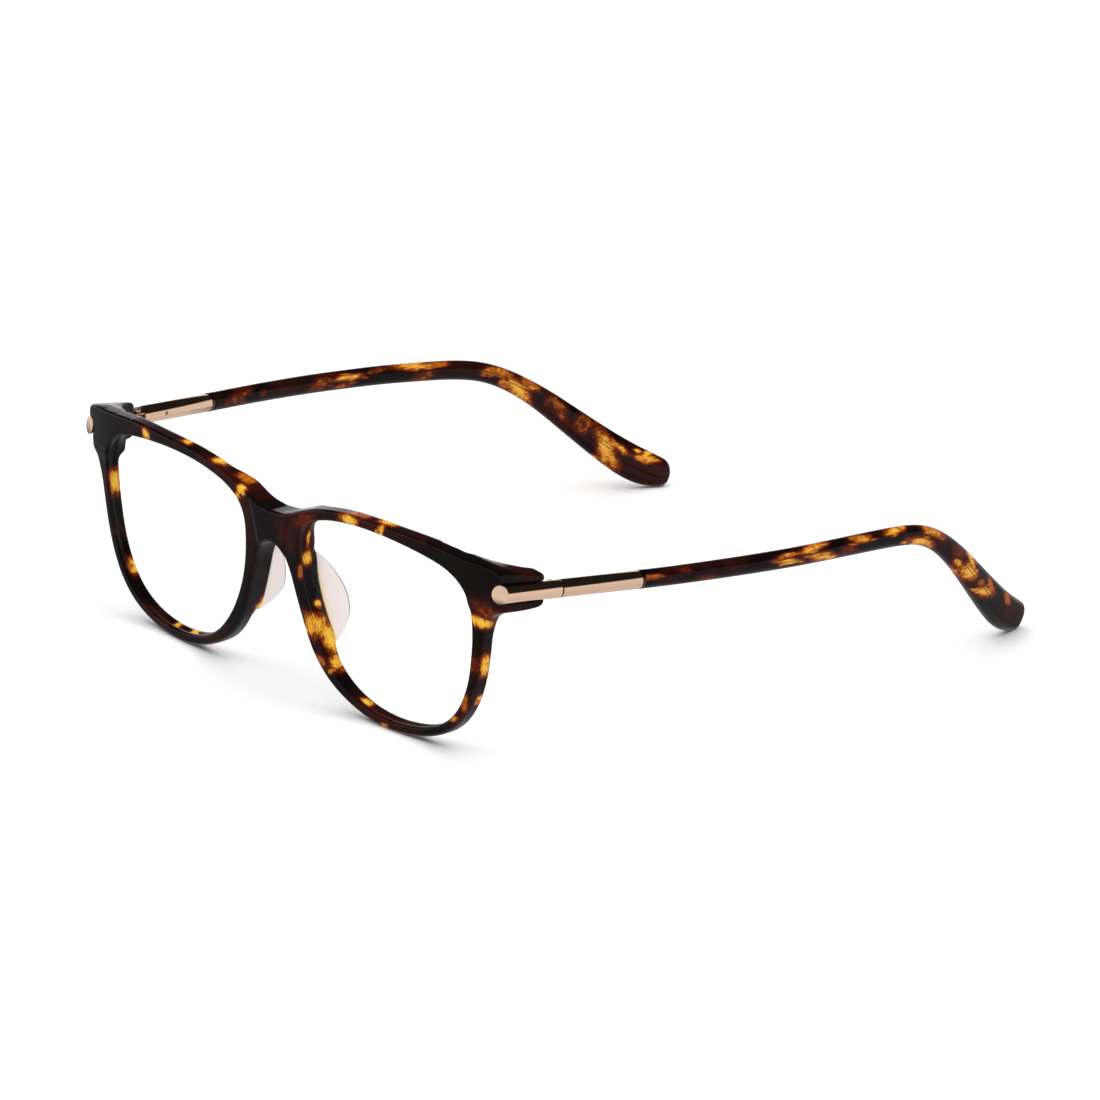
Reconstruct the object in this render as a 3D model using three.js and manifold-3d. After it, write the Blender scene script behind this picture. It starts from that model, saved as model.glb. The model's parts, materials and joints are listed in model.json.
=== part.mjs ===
// Eyeglasses frame: a one-piece acetate front with bonded nose pads, a round metal rod
// let into each end piece, and spring-hinged temples with a metal sleeve and an acetate
// arm over a core wire. Millimetres, +Z up. The front faces -Y, the temples run to +Y,
// and +X is the wearer's left. It stands on the rims' lower edges and the temple tips.
import * as THREE from 'three';
import { mergeVertices } from 'three/addons/utils/BufferGeometryUtils.js';
import Module from 'manifold-3d';

const wasm = await Module();
wasm.setup();

// ---- driving dimensions, mm ----
const WRAP_RADIUS = 500; // bend of the front seen from above
const END_WRAP_FROM = 56; // the ends bend back more from here outwards
const END_WRAP = 0.9; // extra set-back at the corner
const END_WRAP_SPAN = 12;
const FRONT_TILT = THREE.MathUtils.degToRad(3); // top of the front leans forward
const FRONT_FACE = -0.4; // depth of the front face
const RIM_BACK = 2.7; // depth of the rims' rear face
const RIM_EDGE = 0.3; // bevel of the front's edges
const BRIDGE_BACK = 4.5;
const NOSE_BLOCK_BACK = 4.3;
const GROOVE_DEPTH = 0.5; // lens groove
const GROOVE_HALF_WIDTH = 0.6;
const GROOVE_AT = 1.1; // depth of the groove's middle
const PAD_GAP = 0.2;
// The pad's rear edge from top to bottom, [height, depth behind its root].
const PAD_PROFILE = [
  [28.4, 0.8], [27.2, 1.9], [25.0, 3.2], [22.0, 4.6], [19.5, 5.3], [17.0, 5.4], [15.3, 5.0],
  [13.6, 3.8], [12.2, 2.3], [11.2, 1.0],
];
const PAD_DEPTH = 5.4;
const PAD_CORE = 1.2; // thickness between the rounded faces
const PAD_ROUND = 0.4; // each rounded face adds this
const PAD_EDGE = 0.35; // how far the rounding reaches in from the outline
// Distance of the pad's inner face from the middle plane, [at height 0, per mm of height].
const PAD_BONDED_EDGE = [18.28, -0.4];
const PAD_FREE_EDGE = [13.9, -0.19];
const ADD_ON_START = 1.2; // the bridge and the nose blocks start inside the rims' depth
const SLOPE_FROM = 62.5; // the end piece's top slopes down outwards from here
const SLOPE_TO = 71;
const SLOPE_DROP = 1.87;
const TOP_HEIGHT = 41.55; // height of the end piece's top at depth 0
const TOP_FALL = 0.16; // and how much it falls per mm towards the rear

const ROD_START = new THREE.Vector3(67.9, 3.2, 35.7); // middle of the rod's flat head
const ROD_DIRECTION = new THREE.Vector3(3.15, 30.19, -1.95).normalize();
const ROD_RADIUS = 1.8;
const ROD_LENGTH = 13.0;
const ROD_HEAD_NORMAL = new THREE.Vector3(0.3, -0.94, 0.16).normalize(); // the head is cut at a slant
const ROD_CLEARANCE = 0.2;
const ROD_SCREW_AT = 5.6;
const ROD_SCREW_RADIUS = 0.45;
const ROD_SCREW_HEAD_RADIUS = 1.0;

const PIN_AT = 11.7; // along the rod
const PIN_INSET = -0.9; // towards the nose from the rod's axis
const PIN_RADIUS = 0.4;
const PIN_HEAD_RADIUS = 0.72;
const FORK_HALF_GAP = 0.7;
const FORK_START = 10.3;
const KNUCKLE_RADIUS = 1.3;
const EYE_RADIUS = 0.95;
const EYE_HALF_THICKNESS = 0.5;
const SMALL_GAP = 0.15; // running gaps inside the spring hinge

const SLEEVE_START = 13.3;
const SLEEVE_END = 31.1;
const SLEEVE_BORE = 1.4;
const SLIDER_RADIUS = 1.05;
const SLIDER_SPAN = [14.3, 17.0];
const GUIDE_RADIUS = 0.35;
const GUIDE_END = 25.2;
const SEAT_SPAN = [18.2, 19.4];
const NUT_SPAN = [24.2, 25.0];
const SPRING_SPAN = [19.7, 23.9];
const SPRING_TURNS = 6;
const SPRING_RADIUS = 0.85;
const SPRING_WIRE = 0.16;
const STEPS_PER_TURN = 11;
const SEAT_SCREW_AT = (SEAT_SPAN[0] + SEAT_SPAN[1]) / 2;
const SEAT_SCREW_RADIUS = 0.3;
const SEAT_SCREW_BORE = 0.42;
const NUT_RADIUS = 0.95;

const COLLAR_SPAN = [31.2, 31.7];
const COLLAR_RADIUS = 1.86;
const ARM_START = 31.8;
const SPIGOT_START = 27.2;
const SPIGOT_RADIUS = 1.15;
const CORE_RADIUS = 0.5;
const CORE_BORE = 0.75;

// ---- materials ----
const material = (color, roughness, metalness) =>
  new THREE.MeshStandardMaterial({ color, roughness, metalness });
const TORTOISE = () => material(0x2a1410, 0.18, 0);
const PAD = () => material(0xd9cfcb, 0.3, 0);
const ROSE_GOLD = () => material(0xe0ba9f, 0.18, 1);
const STEEL = () => material(0x9a9a98, 0.3, 1);
const DARK_METAL = () => material(0x241d1a, 0.35, 1);

// ---- solids ----
function toSolid(geometry) {
  const bare = geometry.clone();
  bare.deleteAttribute('normal');
  bare.deleteAttribute('uv');
  const merged = mergeVertices(bare, 1e-4);
  return new wasm.Manifold(new wasm.Mesh({
    numProp: 3,
    vertProperties: new Float32Array(merged.attributes.position.array),
    triVerts: new Uint32Array(merged.index.array),
  }));
}

function toGeometry(solid) {
  const mesh = solid.getMesh();
  const geometry = new THREE.BufferGeometry();
  geometry.setAttribute('position', new THREE.BufferAttribute(new Float32Array(mesh.vertProperties), 3));
  geometry.setIndex(new THREE.BufferAttribute(new Uint32Array(mesh.triVerts), 1));
  return geometry;
}

// Moves every vertex of a solid by a function that takes and returns [x, y, z].
function reshape(solid, move) {
  const geometry = toGeometry(solid);
  const position = geometry.attributes.position;
  for (let i = 0; i < position.count; i += 1) {
    position.setXYZ(i, ...move(position.getX(i), position.getY(i), position.getZ(i)));
  }
  return toSolid(geometry);
}

function mirrorX(geometry) {
  const mirrored = geometry.clone();
  mirrored.applyMatrix4(new THREE.Matrix4().makeScale(-1, 1, 1));
  const index = mirrored.index.array;
  for (let i = 0; i < index.length; i += 3) {
    [index[i], index[i + 1]] = [index[i + 1], index[i]];
  }
  return mirrored;
}

// A plate from a flat shape in X and Z, from depth y0 to y1, with bevelled edges.
function plate(shape, y0, y1, bevel = 0) {
  const geometry = new THREE.ExtrudeGeometry(shape, {
    depth: y1 - y0 - 2 * bevel,
    bevelEnabled: bevel > 0,
    bevelThickness: bevel,
    bevelSize: bevel,
    bevelOffset: -bevel,
    bevelSegments: 1,
    curveSegments: 1,
  });
  geometry.rotateX(Math.PI / 2);
  geometry.translate(0, y1 - bevel, 0);
  return toSolid(geometry);
}

function splinePoints(points, closed, perSpan) {
  const curve = new THREE.CatmullRomCurve3(
    points.map(([x, z]) => new THREE.Vector3(x, z, 0)), closed, 'centripetal');
  const count = (points.length - (closed ? 0 : 1)) * perSpan;
  const samples = curve.getPoints(count).map((p) => new THREE.Vector2(p.x, p.y));
  if (closed) samples.pop();
  return samples;
}

// ---- the front, drawn flat and then bent ----
// Half of the outer edge, from the top of the bridge round to the nose arch.
const OUTER_HALF = [
  [0, 36.5], [5.0, 37.1], [9.8, 38.9], [14.4, 40.6], [19.6, 41.6], [27.0, 42.2],
  [37.0, 42.0], [47.4, 41.5], [57.7, 41.0], [64.6, 40.7], [66.9, 40.3], [67.8, 39.0],
  [67.8, 36.2], [66.6, 32.4], [64.5, 29.4], [63.1, 26.0], [62.2, 21.4], [61.0, 16.3],
  [59.0, 11.3], [55.9, 6.8], [51.7, 3.5], [46.1, 1.3], [40.5, 0.3], [35.8, 0],
  [31.1, 0.3], [25.8, 1.4], [19.9, 3.7], [15.3, 6.7], [11.6, 11.0], [9.1, 16.2],
  [6.9, 21.7], [5.3, 25.9], [3.0, 29.0], [0, 30.0],
];
// The lens opening in one rim.
const APERTURE = [
  [8.8, 28.8], [9.0, 32.5], [10.4, 35.4], [13.6, 37.5], [18.6, 39.0], [25.8, 39.95],
  [33.0, 40.1], [41.2, 39.6], [48.9, 38.6], [54.1, 37.3], [57.7, 35.1], [59.8, 31.5],
  [60.2, 27.3], [59.6, 21.1], [58.1, 14.7], [55.3, 9.4], [51.5, 5.8], [45.8, 3.3],
  [39.1, 2.2], [33.0, 2.2], [26.8, 3.3], [21.1, 5.8], [16.7, 9.6], [13.2, 14.3],
  [10.6, 19.6], [9.3, 24.3],
];
// The thicker bridge, and the blocks behind the nose sides that carry the pads.
const BRIDGE = [
  [-8.5, 29.5], [-8.9, 34.2], [-11.0, 37.0], [-14.6, 39.2], [-13.6, 39.7], [-9.4, 38.2],
  [-5.0, 36.7], [0, 36.2], [5.0, 36.7], [9.4, 38.2], [13.6, 39.7], [14.6, 39.2],
  [11.0, 37.0], [8.9, 34.2], [8.5, 29.5], [5.4, 26.6], [2.9, 29.4], [0, 30.3],
  [-2.9, 29.4], [-5.4, 26.6],
];
const NOSE_BLOCK = [
  [8.6, 29.4], [9.0, 24.2], [10.3, 19.4], [12.9, 14.1], [14.0, 12.4], [11.2, 12.4],
  [9.4, 16.3], [7.2, 21.9], [5.6, 26.1], [6.0, 29.4],
];

function bendFront(x, depth, w) {
  const ends = Math.max(0, Math.abs(x) - END_WRAP_FROM) / END_WRAP_SPAN;
  const back = (x * x) / (2 * WRAP_RADIUS) + END_WRAP * ends ** 2 + depth;
  return [
    x,
    back * Math.cos(FRONT_TILT) - w * Math.sin(FRONT_TILT),
    w * Math.cos(FRONT_TILT) + back * Math.sin(FRONT_TILT),
  ];
}

const outerRight = splinePoints(OUTER_HALF, false, 2);
const outerLeft = outerRight.slice(1, -1).reverse().map((p) => new THREE.Vector2(-p.x, p.y));
const aperturePoints = splinePoints(APERTURE, true, 2);

function apertureShape(side, ShapeClass) {
  return new ShapeClass(aperturePoints.map((p) => new THREE.Vector2(side * p.x, p.y)));
}

function buildFrontPlate() {
  const outline = new THREE.Shape([...outerRight, ...outerLeft].reverse());
  outline.holes.push(apertureShape(1, THREE.Path), apertureShape(-1, THREE.Path));
  let solid = plate(outline, FRONT_FACE, RIM_BACK, RIM_EDGE);
  const bridge = new THREE.Shape(splinePoints(BRIDGE, true, 2));
  solid = solid.add(plate(bridge, ADD_ON_START, BRIDGE_BACK, RIM_EDGE));
  for (const side of [1, -1]) {
    const outlineOnSide = NOSE_BLOCK.map(([x, z]) => [side * x, z]);
    const noseBlock = new THREE.Shape(splinePoints(outlineOnSide, true, 2));
    solid = solid.add(plate(noseBlock, ADD_ON_START, NOSE_BLOCK_BACK, RIM_EDGE));
  }
  for (const side of [1, -1]) {
    const groove = new THREE.ExtrudeGeometry(apertureShape(side, THREE.Shape), {
      depth: 0.1,
      bevelThickness: GROOVE_HALF_WIDTH,
      bevelSize: GROOVE_DEPTH,
      bevelSegments: 1,
    });
    groove.rotateX(Math.PI / 2);
    groove.translate(0, GROOVE_AT + 0.05, 0);
    solid = solid.subtract(toSolid(groove));
  }
  return reshape(solid, bendFront);
}

// ---- the rod's own frame: s along the rod, n outwards, u up ----
const UP = new THREE.Vector3(0, 0, 1);
const ROD_UP = UP.clone().addScaledVector(ROD_DIRECTION, -UP.dot(ROD_DIRECTION)).normalize();
const ROD_OUT = new THREE.Vector3().crossVectors(ROD_DIRECTION, ROD_UP);
const ROD_FRAME = new THREE.Matrix4().makeBasis(ROD_OUT, ROD_DIRECTION, ROD_UP).setPosition(ROD_START);

function inRodFrame(geometry) {
  return toSolid(geometry.applyMatrix4(ROD_FRAME));
}

// Round bar along the rod's direction from s0 to s1.
function bar(radius, s0, s1, segments = 24, n = 0) {
  const geometry = new THREE.CylinderGeometry(radius, radius, s1 - s0, segments);
  geometry.translate(n, (s0 + s1) / 2, 0);
  return inRodFrame(geometry);
}

// Turned piece along the rod's direction from a closed profile of [radius, s] points.
function turned(profile, segments = 24) {
  const points = profile.map(([r, s]) => new THREE.Vector2(r, s));
  return inRodFrame(new THREE.LatheGeometry(points, segments));
}

function tube(outer, inner, s0, s1, edge = 0.1, segments = 24) {
  return turned([
    [inner, s0], [outer - edge, s0], [outer, s0 + edge], [outer, s1 - edge],
    [outer - edge, s1], [inner, s1], [inner, s0],
  ], segments);
}

// Upright pin at (s, n), from u0 to u1.
function upright(radius, s, n, u0, u1, segments = 20) {
  const geometry = new THREE.CylinderGeometry(radius, radius, u1 - u0, segments);
  geometry.rotateX(Math.PI / 2);
  geometry.translate(n, s, (u0 + u1) / 2);
  return inRodFrame(geometry);
}

// Sideways pin at s, from n0 to n1.
function sideways(radius, s, n0, n1, segments = 16) {
  const geometry = new THREE.CylinderGeometry(radius, radius, n1 - n0, segments);
  geometry.rotateZ(Math.PI / 2);
  geometry.translate((n0 + n1) / 2, s, 0);
  return inRodFrame(geometry);
}

function block(s0, s1, n0, n1, u0, u1) {
  const geometry = new THREE.BoxGeometry(n1 - n0, s1 - s0, u1 - u0);
  geometry.translate((n0 + n1) / 2, (s0 + s1) / 2, (u0 + u1) / 2);
  return inRodFrame(geometry);
}

// ---- end piece: the part of the front that wraps back beside the rod ----
// Seen from above, [x, y]; the outer face runs along the rod's axis.
const END_PIECE_PLAN = [
  [54.0, 3.2], [62.0, 4.0], [66.0, 4.4], [67.9, 4.9], [69.0, 12.6], [68.5, 13.2],
  [67.0, 13.2], [66.2, 12.5], [65.9, 10.8], [65.0, 9.0], [63.2, 7.5], [60.5, 6.6],
  [57.0, 5.2],
];
// Seen from the side, [y, z].
const END_PIECE_SIDE = [
  [-1.0, 41.0], [3.0, 40.9], [6.8, 40.4], [9.0, 39.9], [11.2, 39.2], [12.6, 38.3],
  [13.2, 37.2], [13.2, 33.2], [12.7, 32.2], [11.8, 31.8], [2.0, 31.9], [-1.0, 33.0],
];

function buildEndPiece() {
  const plan = new THREE.ExtrudeGeometry(
    new THREE.Shape(END_PIECE_PLAN.map(([x, y]) => new THREE.Vector2(x, y))),
    { depth: 12, bevelEnabled: false });
  plan.translate(0, 0, 30);
  const side = new THREE.ExtrudeGeometry(
    new THREE.Shape(END_PIECE_SIDE.map(([y, z]) => new THREE.Vector2(y, z))),
    { depth: 20, bevelEnabled: false });
  side.applyMatrix4(new THREE.Matrix4().set(0, 0, 1, 52, 1, 0, 0, 0, 0, 1, 0, 0, 0, 0, 0, 1));
  const opening = reshape(plate(apertureShape(1, THREE.Shape), -4, 14), bendFront);
  return toSolid(plan).intersect(toSolid(side)).subtract(opening).subtract(topSlope());
}

// What the end piece's top loses to its slope down towards the outside.
function topSlope() {
  const wedge = new THREE.ExtrudeGeometry(
    new THREE.Shape([
      new THREE.Vector2(SLOPE_FROM, 0),
      new THREE.Vector2(SLOPE_TO, -SLOPE_DROP),
      new THREE.Vector2(SLOPE_TO, 4),
      new THREE.Vector2(SLOPE_FROM, 4),
    ]),
    { depth: 24, bevelEnabled: false });
  wedge.rotateX(Math.PI / 2);
  wedge.translate(0, 18, 0);
  return reshape(toSolid(wedge), (x, y, z) => [x, y, z + TOP_HEIGHT - TOP_FALL * y]);
}

function cutEndPiece(front) {
  const outside = 6;
  return front
    .subtract(bar(ROD_RADIUS + ROD_CLEARANCE, -4, ROD_LENGTH + 4, 32))
    .subtract(sideways(ROD_SCREW_RADIUS + SMALL_GAP, ROD_SCREW_AT, -outside, 0))
    .subtract(sideways(ROD_SCREW_HEAD_RADIUS + SMALL_GAP, ROD_SCREW_AT, -outside, -3.4));
}

// ---- nose pad, lofted by moving the vertices of a plate ----
function buildPad() {
  const start = NOSE_BLOCK_BACK + PAD_GAP;
  const high = PAD_PROFILE[0][0];
  const low = PAD_PROFILE[PAD_PROFILE.length - 1][0];
  const outline = PAD_PROFILE.map(([w, reach]) => new THREE.Vector2(w, start + reach));
  const edge = new THREE.SplineCurve(outline).getPoints(2 * outline.length - 2);
  const geometry = new THREE.ExtrudeGeometry(
    new THREE.Shape([...edge, new THREE.Vector2(low, start), new THREE.Vector2(high, start)]),
    {
      depth: PAD_CORE,
      bevelThickness: PAD_ROUND,
      bevelSize: PAD_EDGE,
      bevelOffset: -PAD_EDGE,
      bevelSegments: 2,
    });
  geometry.rotateY(-Math.PI / 2);
  const edgeAt = ([base, slope], w) => base + slope * w;
  return reshape(toSolid(geometry), (across, depth, w) => {
    const share = (depth - start) / PAD_DEPTH;
    const lean = THREE.MathUtils.lerp(edgeAt(PAD_BONDED_EDGE, w), edgeAt(PAD_FREE_EDGE, w), share);
    return bendFront(lean + PAD_CORE / 2 + across, depth, w);
  });
}

// ---- temple arm ----
// Middle line of the arm behind the sleeve, [x, y, z].
const ARM_LINE = [
  [72.0, 45.3, 33.2], [72.8, 60.0, 32.2], [72.4, 72.5, 31.4], [71.3, 84.0, 30.7],
  [70.2, 93.0, 30.0], [69.3, 100.0, 28.9], [68.6, 105.5, 27.1], [68.1, 110.4, 24.2],
  [67.3, 115.0, 20.5], [65.9, 119.6, 16.3], [64.1, 124.0, 12.2], [62.1, 128.4, 8.2],
  [60.0, 132.6, 4.6], [57.7, 137.3, 1.0],
];
const onRod = (s) => ROD_START.clone().addScaledVector(ROD_DIRECTION, s);
const armCurve = new THREE.CatmullRomCurve3([
  onRod(ARM_START), onRod(ARM_START + 3), onRod(ARM_START + 6),
  ...ARM_LINE.map((p) => new THREE.Vector3(...p)),
], false, 'centripetal');
armCurve.arcLengthDivisions = 800;

// Share of the arm's length, half height, half thickness.
const ARM_SECTION = [
  [0, 1.85, 1.8], [0.3, 1.9, 1.8], [0.6, 1.98, 1.8], [0.68, 2.2, 1.8], [0.76, 2.65, 1.75],
  [0.88, 3.4, 1.65], [0.96, 3.85, 1.5], [1, 3.7, 1.3],
];
const TIP_ROUND = 0.03; // share of the length over which the tip rounds off
const TIP_ROUND_UNDER = 0.09; // the same on its underside, which rests on the table
const CORE_END = 0.925; // share of the arm's length the core wire reaches
const BORE_END = 0.93;

function armSection(t) {
  let k = 1;
  while (k < ARM_SECTION.length - 1 && ARM_SECTION[k][0] < t) k += 1;
  const [t0, h0, w0] = ARM_SECTION[k - 1];
  const [t1, h1, w1] = ARM_SECTION[k];
  const f = THREE.MathUtils.smoothstep(t, t0, t1);
  const round = (share) => {
    const end = Math.max(0, (t - (1 - share)) / share);
    return Math.sqrt(Math.max(0.02, 1 - end ** 2.6));
  };
  const half = h0 + (h1 - h0) * f;
  return [half * round(TIP_ROUND), (w0 + (w1 - w0) * f) * round(TIP_ROUND), half * round(TIP_ROUND_UNDER)];
}

// Sweeps a round bar of unit radius along the arm from share t0 to t1.
function sweepArm(section, t0, t1, steps, radial, endBias = 1) {
  const geometry = new THREE.CylinderGeometry(1, 1, 1, radial, steps);
  const position = geometry.attributes.position;
  for (let i = 0; i < position.count; i += 1) {
    const along = position.getY(i) + 0.5;
    const t = t0 + (t1 - t0) * (1 - (1 - along) ** endBias);
    const [above, halfWidth, under] = section(t);
    const point = armCurve.getPointAt(t);
    const tangent = armCurve.getTangentAt(t);
    const out = new THREE.Vector3(1, 0, 0).addScaledVector(tangent, -tangent.x).normalize();
    const up = new THREE.Vector3().crossVectors(out, tangent);
    point.addScaledVector(out, position.getX(i) * halfWidth);
    point.addScaledVector(up, position.getZ(i) * (position.getZ(i) > 0 ? above : under));
    position.setXYZ(i, point.x, point.y, point.z);
  }
  return toSolid(geometry);
}

function buildArm() {
  const outside = sweepArm(armSection, 0, 1, 46, 16, 1.35);
  const bore = sweepArm(() => [CORE_BORE, CORE_BORE, CORE_BORE], 0, BORE_END, 26, 8);
  return outside
    .add(bar(SPIGOT_RADIUS, SPIGOT_START, ARM_START + 0.6, 20))
    .subtract(bore)
    .subtract(bar(CORE_BORE, SPIGOT_START - 1, ARM_START + 0.05, 8));
}

function buildCore() {
  return sweepArm(() => [CORE_RADIUS, CORE_RADIUS, CORE_RADIUS], 0, CORE_END, 26, 6)
    .add(bar(CORE_RADIUS, SPIGOT_START + 0.4, ARM_START + 0.02, 6));
}

// ---- spring hinge ----
function buildRod() {
  const plan = new THREE.Shape();
  plan.moveTo(-3, -3);
  plan.lineTo(3, -3);
  plan.lineTo(3, ROD_LENGTH);
  plan.lineTo(PIN_INSET, ROD_LENGTH);
  plan.absarc(PIN_INSET, PIN_AT, KNUCKLE_RADIUS, Math.PI / 2, Math.PI * 0.97, false);
  plan.lineTo(-3, PIN_AT);
  const trim = new THREE.ExtrudeGeometry(plan, { depth: 6, bevelEnabled: false, curveSegments: 8 });
  trim.translate(0, 0, -3);
  const before = new THREE.BoxGeometry(8, 8, 8);
  before.translate(0, 4, 0);
  const turn = new THREE.Quaternion().setFromUnitVectors(new THREE.Vector3(0, 1, 0), ROD_HEAD_NORMAL);
  before.applyQuaternion(turn);
  before.translate(ROD_START.x, ROD_START.y, ROD_START.z);
  return bar(ROD_RADIUS, -2, ROD_LENGTH, 32)
    .subtract(toSolid(before))
    .intersect(inRodFrame(trim))
    .subtract(block(FORK_START, ROD_LENGTH + 1, -4, 0.5, -FORK_HALF_GAP, FORK_HALF_GAP))
    .subtract(upright(PIN_RADIUS + SMALL_GAP, PIN_AT, PIN_INSET, -3, 3))
    .subtract(upright(PIN_HEAD_RADIUS + SMALL_GAP, PIN_AT, PIN_INSET, 1.1, 3))
    .subtract(sideways(ROD_SCREW_RADIUS + SMALL_GAP, ROD_SCREW_AT, -3, 0.1));
}

function buildHingeScrew() {
  const slot = block(PIN_AT - 0.12, PIN_AT + 0.12, PIN_INSET - 1, PIN_INSET + 1, 1.38, 2);
  return upright(PIN_RADIUS, PIN_AT, PIN_INSET, -1.42, 1.3)
    .add(upright(PIN_HEAD_RADIUS, PIN_AT, PIN_INSET, 1.2, 1.55))
    .subtract(slot);
}

function buildRodScrew() {
  const slot = block(ROD_SCREW_AT - 0.14, ROD_SCREW_AT + 0.14, -5, -3.95, -1.2, 1.2);
  return sideways(ROD_SCREW_RADIUS, ROD_SCREW_AT, -3.8, -0.1)
    .add(sideways(ROD_SCREW_HEAD_RADIUS, ROD_SCREW_AT, -4.2, -3.6, 20))
    .subtract(slot);
}

function buildCarriage() {
  return upright(EYE_RADIUS, PIN_AT, PIN_INSET, -EYE_HALF_THICKNESS, EYE_HALF_THICKNESS, 24)
    .add(block(PIN_AT + 0.5, SLIDER_SPAN[0] + 0.3, -1.1, 0.1, -EYE_HALF_THICKNESS, EYE_HALF_THICKNESS))
    .subtract(upright(PIN_RADIUS + SMALL_GAP, PIN_AT, PIN_INSET, -2, 2))
    .add(bar(SLIDER_RADIUS, SLIDER_SPAN[0], SLIDER_SPAN[1], 20))
    .add(bar(GUIDE_RADIUS, SLIDER_SPAN[1] - 0.2, GUIDE_END, 12));
}

function buildSleeve() {
  return tube(ROD_RADIUS, SLEEVE_BORE, SLEEVE_START, SLEEVE_END, 0.08, 32)
    .subtract(sideways(SEAT_SCREW_BORE, SEAT_SCREW_AT, -3, 0));
}

function buildSeat() {
  return tube(SLEEVE_BORE - SMALL_GAP, GUIDE_RADIUS + SMALL_GAP, SEAT_SPAN[0], SEAT_SPAN[1], 0.1, 20)
    .subtract(sideways(SEAT_SCREW_BORE, SEAT_SCREW_AT, -3, -0.75));
}

function buildSeatScrew() {
  return sideways(SEAT_SCREW_RADIUS, SEAT_SCREW_AT, -1.74, -0.85)
    .subtract(block(SEAT_SCREW_AT - 0.4, SEAT_SCREW_AT + 0.4, -2, -1.6, -0.07, 0.07));
}

function buildSpring() {
  const length = SPRING_SPAN[1] - SPRING_SPAN[0];
  class Coil extends THREE.Curve {
    getPoint(t) {
      const angle = t * SPRING_TURNS * 2 * Math.PI;
      return new THREE.Vector3(
        SPRING_RADIUS * Math.cos(angle), SPRING_SPAN[0] + t * length, SPRING_RADIUS * Math.sin(angle));
    }
  }
  const wire = new THREE.Shape();
  wire.absarc(0, 0, SPRING_WIRE, 0, 2 * Math.PI);
  const geometry = new THREE.ExtrudeGeometry(wire, {
    extrudePath: new Coil(), steps: SPRING_TURNS * STEPS_PER_TURN, curveSegments: 4, bevelEnabled: false,
  });
  return inRodFrame(geometry);
}

// ---- assembly ----
const group = new THREE.Group();

function addPiece(name, geometry, surface) {
  const mesh = new THREE.Mesh(geometry, surface);
  mesh.name = name;
  group.add(mesh);
}

function addPair(name, solid, surface) {
  const geometry = toGeometry(solid);
  addPiece(`${name}_left`, geometry, surface());
  addPiece(`${name}_right`, mirrorX(geometry), surface());
}

const endPiece = buildEndPiece();
const endPieceRight = toSolid(mirrorX(toGeometry(endPiece)));
let front = buildFrontPlate().add(endPiece).add(endPieceRight);
front = cutEndPiece(front);
front = toSolid(mirrorX(toGeometry(cutEndPiece(toSolid(mirrorX(toGeometry(front)))))));
addPiece('frame_front', toGeometry(front), TORTOISE());

addPair('nose_pad', buildPad(), PAD);
addPair('end_rod', buildRod(), ROSE_GOLD);
addPair('end_rod_screw', buildRodScrew(), STEEL);
addPair('hinge_screw', buildHingeScrew(), ROSE_GOLD);
addPair('hinge_carriage', buildCarriage(), STEEL);
addPair('flex_spring', buildSpring(), STEEL);
addPair('spring_nut', tube(NUT_RADIUS, GUIDE_RADIUS + SMALL_GAP, ...NUT_SPAN, 0.08, 12), STEEL);
addPair('spring_seat', buildSeat(), STEEL);
addPair('seat_screw', buildSeatScrew(), STEEL);
addPair('temple_sleeve', buildSleeve(), ROSE_GOLD);
addPair('temple_collar', tube(COLLAR_RADIUS, SPIGOT_RADIUS + SMALL_GAP, ...COLLAR_SPAN), DARK_METAL);
addPair('temple_core', buildCore(), STEEL);
addPair('temple_arm', buildArm(), TORTOISE);

// Origin: the middle of the bounding box in plan, at the height of the lowest point.
const bounds = new THREE.Box3().setFromObject(group);
const middle = bounds.getCenter(new THREE.Vector3());
for (const mesh of group.children) {
  mesh.geometry.translate(0, -middle.y, -bounds.min.z);
}

export default group;
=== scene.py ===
"""Eyeglasses frame: polished tortoise acetate, rose-gold rods and sleeves, translucent nose pads."""

import json
import math

import bmesh
import bpy
import numpy as np
from mathutils import Matrix, Vector


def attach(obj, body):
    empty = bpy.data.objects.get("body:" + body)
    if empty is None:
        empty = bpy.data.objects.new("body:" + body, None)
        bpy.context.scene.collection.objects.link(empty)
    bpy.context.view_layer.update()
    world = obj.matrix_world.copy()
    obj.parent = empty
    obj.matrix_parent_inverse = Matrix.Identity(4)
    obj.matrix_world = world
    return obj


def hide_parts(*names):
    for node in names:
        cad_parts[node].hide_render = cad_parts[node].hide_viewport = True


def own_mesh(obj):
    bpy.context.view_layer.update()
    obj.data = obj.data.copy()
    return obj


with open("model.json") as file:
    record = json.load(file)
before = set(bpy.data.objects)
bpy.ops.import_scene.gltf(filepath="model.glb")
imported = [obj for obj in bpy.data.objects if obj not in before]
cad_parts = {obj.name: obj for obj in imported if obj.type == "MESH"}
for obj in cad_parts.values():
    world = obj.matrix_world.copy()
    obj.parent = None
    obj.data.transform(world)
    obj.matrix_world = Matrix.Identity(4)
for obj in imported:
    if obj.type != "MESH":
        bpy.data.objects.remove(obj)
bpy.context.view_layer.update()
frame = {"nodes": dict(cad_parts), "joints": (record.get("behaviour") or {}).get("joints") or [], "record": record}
SIDES = {"left": 1.0, "right": -1.0}

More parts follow.
